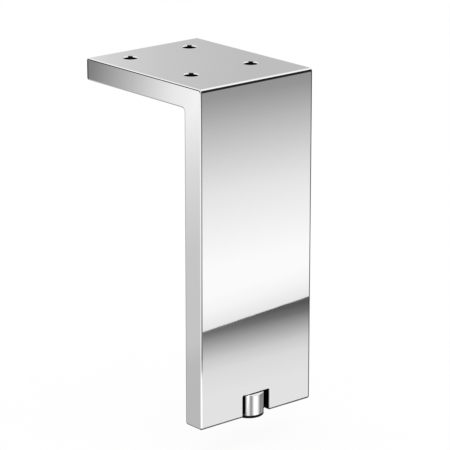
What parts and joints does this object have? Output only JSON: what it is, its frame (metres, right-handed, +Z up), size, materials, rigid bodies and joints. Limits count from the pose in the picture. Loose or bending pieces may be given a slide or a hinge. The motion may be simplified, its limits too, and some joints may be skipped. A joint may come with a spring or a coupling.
{
  "type": "adjustable cabinet leg",
  "caption": "L-shaped cabinet leg of solid chromed metal: a flange with screw holes over a flat upright plate, with a small screw-adjusted foot in a notch in its lower end.",
  "frame": {"origin": "middle of the four screw holes, on the flange's flat top face", "axes": "+Z up, out of the top face that meets the cabinet; +Y back, from the plate's front face towards the flange's tip; X across the leg"},
  "size_m": [0.06, 0.0763, 0.146],
  "materials": {
    "bracket_chrome": "mirror polished",
    "stud_steel": "bright zinc plated thread",
    "barrel_steel": "turned and polished",
    "pad_plastic": "black moulded"
  },
  "bodies": {
    "bracket": {"leg_bracket": "bracket_chrome"},
    "glide": {"glide_pad": "pad_plastic"},
    "adjusting_screw": {"threaded_stud": "stud_steel", "foot_barrel": "barrel_steel"}
  },
  "joints": [
    {"name": "foot_travel", "type": "slide", "parent": "bracket", "child": "glide", "axis": [0, 0, -1], "range_m": [0, 0.01]},
    {"name": "foot_turn", "type": "hinge", "parent": "glide", "child": "adjusting_screw", "pos_m": [0, -0.03775, -0.14], "axis": [0, 0, -1], "range_deg": [0, 3600]}
  ],
  "couplings": [
    {"joint": "foot_turn", "follows": "foot_travel", "rad_per_m": 6283.2}
  ]
}
